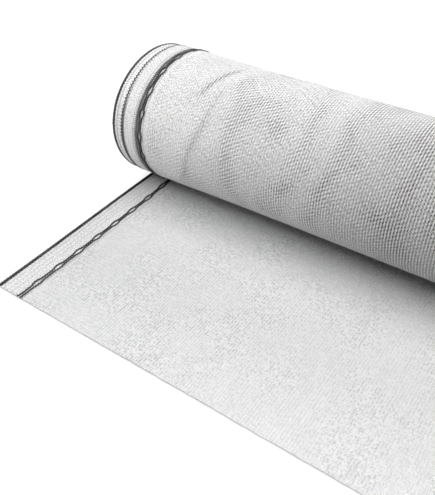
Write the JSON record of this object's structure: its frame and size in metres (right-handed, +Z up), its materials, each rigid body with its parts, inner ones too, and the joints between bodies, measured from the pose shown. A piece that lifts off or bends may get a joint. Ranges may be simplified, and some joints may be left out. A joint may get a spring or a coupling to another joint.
{
  "type": "roll of scaffold netting",
  "caption": "Wide roll of white knitted scaffold netting lying on its side, dark edge yarns and eyelet rows along both selvedges, with the last stretch run out flat on the floor.",
  "frame": {"origin": "on the floor, in the middle of the roll's flat spot and midway between the net's two selvedges", "axes": "+X along the roll, from the end that shows in the picture to the other; -Y towards the cut end of the loose stretch; +Z up"},
  "size_m": [2.0197, 0.4137, 0.1699],
  "materials": {
    "white_net": "knitted white polyethylene mesh, satin monofilament in fine lengthwise wales",
    "close_knit_strip": "closer knitted white polyethylene selvedge, matt",
    "dark_yarn": "near-black polyethylene yarn, matt"
  },
  "bodies": {
    "root": {"wound_net": "white_net", "loose_net": "white_net", "eyelet_strip_left": "close_knit_strip", "eyelet_strip_right": "close_knit_strip", "edge_yarn_left_loose": "dark_yarn", "edge_yarn_right_loose": "dark_yarn", "edge_yarn_left_wound": "dark_yarn", "edge_yarn_right_wound": "dark_yarn", "edge_yarn_left_under_wraps": "dark_yarn", "eyelet_yarn_left_loose_inner": "dark_yarn", "eyelet_yarn_left_loose_outer": "dark_yarn", "eyelet_yarn_right_loose_inner": "dark_yarn", "eyelet_yarn_right_loose_outer": "dark_yarn", "eyelet_yarn_left_wound_inner": "dark_yarn", "eyelet_yarn_left_wound_outer": "dark_yarn", "eyelet_yarn_right_wound_inner": "dark_yarn", "eyelet_yarn_right_wound_outer": "dark_yarn"}
  },
  "joints": []
}
